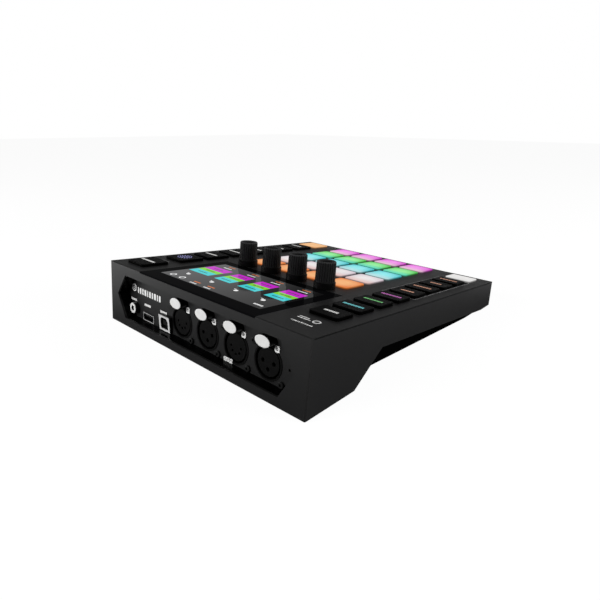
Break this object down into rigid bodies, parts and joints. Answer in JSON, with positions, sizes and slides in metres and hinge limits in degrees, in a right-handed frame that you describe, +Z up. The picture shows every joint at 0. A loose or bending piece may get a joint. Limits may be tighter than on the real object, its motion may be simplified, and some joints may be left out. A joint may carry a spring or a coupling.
{
  "type": "lighting control desk",
  "caption": "Small wedge-shaped stage-lighting desk with a touch screen, rotary knobs, lit colour pads, side keys and a recessed rear connector panel.",
  "frame": {"origin": "centre of the footprint, on the table plane under the rubber feet", "axes": "+X is the user's right, +Y points to the rear connector side, +Z is up"},
  "size_m": [0.188, 0.2171, 0.0534],
  "materials": {
    "case_powder": "fine-textured satin powder coat, near black",
    "cover_black": "black paint, satin",
    "liner_gloss": "moulded black, glossy enough to mirror the sockets",
    "socket_plastic": "moulded dark grey, satin",
    "latch_white": "pale moulded face",
    "jack_body": "plated ring on a black body",
    "connector_metal": "tin-plated steel shell",
    "usb_a_metal": "plated steel shell, dark inside",
    "screen_glass": "back-printed cover glass, dark border",
    "display_frame": "plain",
    "key_black": "satin, slightly glossy edges",
    "key_lit_white": "translucent cap lit white from below",
    "key_lit_orange": "translucent cap lit orange from below",
    "pad_orange": "translucent silicone lit orange from below",
    "pad_white": "translucent silicone lit white from below",
    "pad_cyan": "translucent silicone lit cyan from below",
    "pad_green": "translucent silicone lit green from below",
    "pad_magenta": "translucent silicone lit magenta from below",
    "knob_grip": "fluted soft grip",
    "encoder_steel": "plain",
    "board_green": "solder-masked board",
    "foot_rubber": "plain",
    "screw_black": "black zinc"
  },
  "bodies": {
    "desk": {"bottom_cover": "cover_black", "case_shell": "case_powder", "connector_plate": "case_powder", "display_module": "display_frame", "encoder_bodies": "encoder_steel", "line_in_jack": "jack_body", "m3_screws": "screw_black", "main_board": "board_green", "rubber_feet": "foot_rubber", "touch_glass": "screen_glass", "usb_a_socket": "usb_a_metal", "usb_b_socket": "connector_metal", "window_liner": "liner_gloss", "xlr_3pin_sockets": "socket_plastic", "xlr_5pin_sockets": "socket_plastic"},
    "knob_1_body": {"knob_1": "knob_grip"},
    "knob_2_body": {"knob_2": "knob_grip"},
    "knob_3_body": {"knob_3": "knob_grip"},
    "knob_4_body": {"knob_4": "knob_grip"},
    "left_key_1_body": {"left_key_1": "key_black"},
    "left_key_2_body": {"left_key_2": "key_black"},
    "left_key_3_body": {"left_key_3": "key_black"},
    "left_key_4_body": {"left_key_4": "key_black"},
    "left_key_5_body": {"left_key_5": "key_black"},
    "left_key_6_body": {"left_key_6": "key_black"},
    "left_key_7_body": {"left_key_7": "key_black"},
    "left_key_8_body": {"left_key_8": "key_black"},
    "left_key_9_body": {"left_key_9": "key_lit_white"},
    "pad_row1_col1_body": {"pad_row1_col1": "pad_orange"},
    "pad_row1_col2_body": {"pad_row1_col2": "pad_orange"},
    "pad_row1_col3_body": {"pad_row1_col3": "pad_orange"},
    "pad_row1_col4_body": {"pad_row1_col4": "pad_orange"},
    "pad_row2_col1_body": {"pad_row2_col1": "pad_white"},
    "pad_row2_col2_body": {"pad_row2_col2": "pad_white"},
    "pad_row2_col3_body": {"pad_row2_col3": "pad_white"},
    "pad_row2_col4_body": {"pad_row2_col4": "pad_white"},
    "pad_row3_col1_body": {"pad_row3_col1": "pad_cyan"},
    "pad_row3_col2_body": {"pad_row3_col2": "pad_cyan"},
    "pad_row3_col3_body": {"pad_row3_col3": "pad_cyan"},
    "pad_row3_col4_body": {"pad_row3_col4": "pad_cyan"},
    "pad_row4_col1_body": {"pad_row4_col1": "pad_green"},
    "pad_row4_col2_body": {"pad_row4_col2": "pad_green"},
    "pad_row4_col3_body": {"pad_row4_col3": "pad_green"},
    "pad_row4_col4_body": {"pad_row4_col4": "pad_green"},
    "pad_row5_col1_body": {"pad_row5_col1": "pad_magenta"},
    "pad_row5_col2_body": {"pad_row5_col2": "pad_magenta"},
    "pad_row5_col3_body": {"pad_row5_col3": "pad_magenta"},
    "pad_row5_col4_body": {"pad_row5_col4": "pad_magenta"},
    "right_key_1_body": {"right_key_1": "key_black"},
    "right_key_2_body": {"right_key_2": "key_black"},
    "right_key_3_body": {"right_key_3": "key_black"},
    "right_key_4_body": {"right_key_4": "key_black"},
    "right_key_5_body": {"right_key_5": "key_black"},
    "right_key_6_body": {"right_key_6": "key_black"},
    "right_key_7_body": {"right_key_7": "key_black"},
    "right_key_8_body": {"right_key_8": "key_lit_orange"},
    "xlr_latch_1_body": {"xlr_latch_1": "latch_white"},
    "xlr_latch_2_body": {"xlr_latch_2": "latch_white"},
    "xlr_latch_3_body": {"xlr_latch_3": "latch_white"},
    "xlr_latch_4_body": {"xlr_latch_4": "latch_white"}
  },
  "joints": [
    {"name": "knob_1_turn", "type": "hinge", "parent": "desk", "child": "knob_1_body", "pos_m": [-0.0369, 0.02712, 0.03494], "axis": [0, -0.1089, 0.9941], "continuous": true},
    {"name": "knob_2_turn", "type": "hinge", "parent": "desk", "child": "knob_2_body", "pos_m": [-0.0123, 0.02712, 0.03494], "axis": [0, -0.1089, 0.9941], "continuous": true},
    {"name": "knob_3_turn", "type": "hinge", "parent": "desk", "child": "knob_3_body", "pos_m": [0.0123, 0.02712, 0.03494], "axis": [0, -0.1089, 0.9941], "continuous": true},
    {"name": "knob_4_turn", "type": "hinge", "parent": "desk", "child": "knob_4_body", "pos_m": [0.0369, 0.02712, 0.03494], "axis": [0, -0.1089, 0.9941], "continuous": true},
    {"name": "left_key_1_press", "type": "slide", "parent": "desk", "child": "left_key_1_body", "axis": [0, 0.1089, -0.9941], "range_m": [0, 0.0012]},
    {"name": "left_key_2_press", "type": "slide", "parent": "desk", "child": "left_key_2_body", "axis": [0, 0.1089, -0.9941], "range_m": [0, 0.0012]},
    {"name": "left_key_3_press", "type": "slide", "parent": "desk", "child": "left_key_3_body", "axis": [0, 0.1089, -0.9941], "range_m": [0, 0.0012]},
    {"name": "left_key_4_press", "type": "slide", "parent": "desk", "child": "left_key_4_body", "axis": [0, 0.1089, -0.9941], "range_m": [0, 0.0012]},
    {"name": "left_key_5_press", "type": "slide", "parent": "desk", "child": "left_key_5_body", "axis": [0, 0.1089, -0.9941], "range_m": [0, 0.0012]},
    {"name": "left_key_6_press", "type": "slide", "parent": "desk", "child": "left_key_6_body", "axis": [0, 0.1089, -0.9941], "range_m": [0, 0.0012]},
    {"name": "left_key_7_press", "type": "slide", "parent": "desk", "child": "left_key_7_body", "axis": [0, 0.1089, -0.9941], "range_m": [0, 0.0012]},
    {"name": "left_key_8_press", "type": "slide", "parent": "desk", "child": "left_key_8_body", "axis": [0, 0.1089, -0.9941], "range_m": [0, 0.0012]},
    {"name": "left_key_9_press", "type": "slide", "parent": "desk", "child": "left_key_9_body", "axis": [0, 0.1089, -0.9941], "range_m": [0, 0.0012]},
    {"name": "pad_row1_col1_press", "type": "slide", "parent": "desk", "child": "pad_row1_col1_body", "axis": [0, 0.1089, -0.9941], "range_m": [0, 0.0009]},
    {"name": "pad_row1_col2_press", "type": "slide", "parent": "desk", "child": "pad_row1_col2_body", "axis": [0, 0.1089, -0.9941], "range_m": [0, 0.0009]},
    {"name": "pad_row1_col3_press", "type": "slide", "parent": "desk", "child": "pad_row1_col3_body", "axis": [0, 0.1089, -0.9941], "range_m": [0, 0.0009]},
    {"name": "pad_row1_col4_press", "type": "slide", "parent": "desk", "child": "pad_row1_col4_body", "axis": [0, 0.1089, -0.9941], "range_m": [0, 0.0009]},
    {"name": "pad_row2_col1_press", "type": "slide", "parent": "desk", "child": "pad_row2_col1_body", "axis": [0, 0.1089, -0.9941], "range_m": [0, 0.0009]},
    {"name": "pad_row2_col2_press", "type": "slide", "parent": "desk", "child": "pad_row2_col2_body", "axis": [0, 0.1089, -0.9941], "range_m": [0, 0.0009]},
    {"name": "pad_row2_col3_press", "type": "slide", "parent": "desk", "child": "pad_row2_col3_body", "axis": [0, 0.1089, -0.9941], "range_m": [0, 0.0009]},
    {"name": "pad_row2_col4_press", "type": "slide", "parent": "desk", "child": "pad_row2_col4_body", "axis": [0, 0.1089, -0.9941], "range_m": [0, 0.0009]},
    {"name": "pad_row3_col1_press", "type": "slide", "parent": "desk", "child": "pad_row3_col1_body", "axis": [0, 0.1089, -0.9941], "range_m": [0, 0.0009]},
    {"name": "pad_row3_col2_press", "type": "slide", "parent": "desk", "child": "pad_row3_col2_body", "axis": [0, 0.1089, -0.9941], "range_m": [0, 0.0009]},
    {"name": "pad_row3_col3_press", "type": "slide", "parent": "desk", "child": "pad_row3_col3_body", "axis": [0, 0.1089, -0.9941], "range_m": [0, 0.0009]},
    {"name": "pad_row3_col4_press", "type": "slide", "parent": "desk", "child": "pad_row3_col4_body", "axis": [0, 0.1089, -0.9941], "range_m": [0, 0.0009]},
    {"name": "pad_row4_col1_press", "type": "slide", "parent": "desk", "child": "pad_row4_col1_body", "axis": [0, 0.1089, -0.9941], "range_m": [0, 0.0009]},
    {"name": "pad_row4_col2_press", "type": "slide", "parent": "desk", "child": "pad_row4_col2_body", "axis": [0, 0.1089, -0.9941], "range_m": [0, 0.0009]},
    {"name": "pad_row4_col3_press", "type": "slide", "parent": "desk", "child": "pad_row4_col3_body", "axis": [0, 0.1089, -0.9941], "range_m": [0, 0.0009]},
    {"name": "pad_row4_col4_press", "type": "slide", "parent": "desk", "child": "pad_row4_col4_body", "axis": [0, 0.1089, -0.9941], "range_m": [0, 0.0009]},
    {"name": "pad_row5_col1_press", "type": "slide", "parent": "desk", "child": "pad_row5_col1_body", "axis": [0, 0.1089, -0.9941], "range_m": [0, 0.0009]},
    {"name": "pad_row5_col2_press", "type": "slide", "parent": "desk", "child": "pad_row5_col2_body", "axis": [0, 0.1089, -0.9941], "range_m": [0, 0.0009]},
    {"name": "pad_row5_col3_press", "type": "slide", "parent": "desk", "child": "pad_row5_col3_body", "axis": [0, 0.1089, -0.9941], "range_m": [0, 0.0009]},
    {"name": "pad_row5_col4_press", "type": "slide", "parent": "desk", "child": "pad_row5_col4_body", "axis": [0, 0.1089, -0.9941], "range_m": [0, 0.0009]},
    {"name": "right_key_1_press", "type": "slide", "parent": "desk", "child": "right_key_1_body", "axis": [0, 0.1089, -0.9941], "range_m": [0, 0.0012]},
    {"name": "right_key_2_press", "type": "slide", "parent": "desk", "child": "right_key_2_body", "axis": [0, 0.1089, -0.9941], "range_m": [0, 0.0012]},
    {"name": "right_key_3_press", "type": "slide", "parent": "desk", "child": "right_key_3_body", "axis": [0, 0.1089, -0.9941], "range_m": [0, 0.0012]},
    {"name": "right_key_4_press", "type": "slide", "parent": "desk", "child": "right_key_4_body", "axis": [0, 0.1089, -0.9941], "range_m": [0, 0.0012]},
    {"name": "right_key_5_press", "type": "slide", "parent": "desk", "child": "right_key_5_body", "axis": [0, 0.1089, -0.9941], "range_m": [0, 0.0012]},
    {"name": "right_key_6_press", "type": "slide", "parent": "desk", "child": "right_key_6_body", "axis": [0, 0.1089, -0.9941], "range_m": [0, 0.0012]},
    {"name": "right_key_7_press", "type": "slide", "parent": "desk", "child": "right_key_7_body", "axis": [0, 0.1089, -0.9941], "range_m": [0, 0.0012]},
    {"name": "right_key_8_press", "type": "slide", "parent": "desk", "child": "right_key_8_body", "axis": [0, 0.1089, -0.9941], "range_m": [0, 0.0012]},
    {"name": "xlr_latch_1_press", "type": "slide", "parent": "desk", "child": "xlr_latch_1_body", "axis": [0, -0.9941, -0.1089], "range_m": [0, 0.0015]},
    {"name": "xlr_latch_2_press", "type": "slide", "parent": "desk", "child": "xlr_latch_2_body", "axis": [0, -0.9941, -0.1089], "range_m": [0, 0.0015]},
    {"name": "xlr_latch_3_press", "type": "slide", "parent": "desk", "child": "xlr_latch_3_body", "axis": [0, -0.9941, -0.1089], "range_m": [0, 0.0015]},
    {"name": "xlr_latch_4_press", "type": "slide", "parent": "desk", "child": "xlr_latch_4_body", "axis": [0, -0.9941, -0.1089], "range_m": [0, 0.0015]}
  ]
}
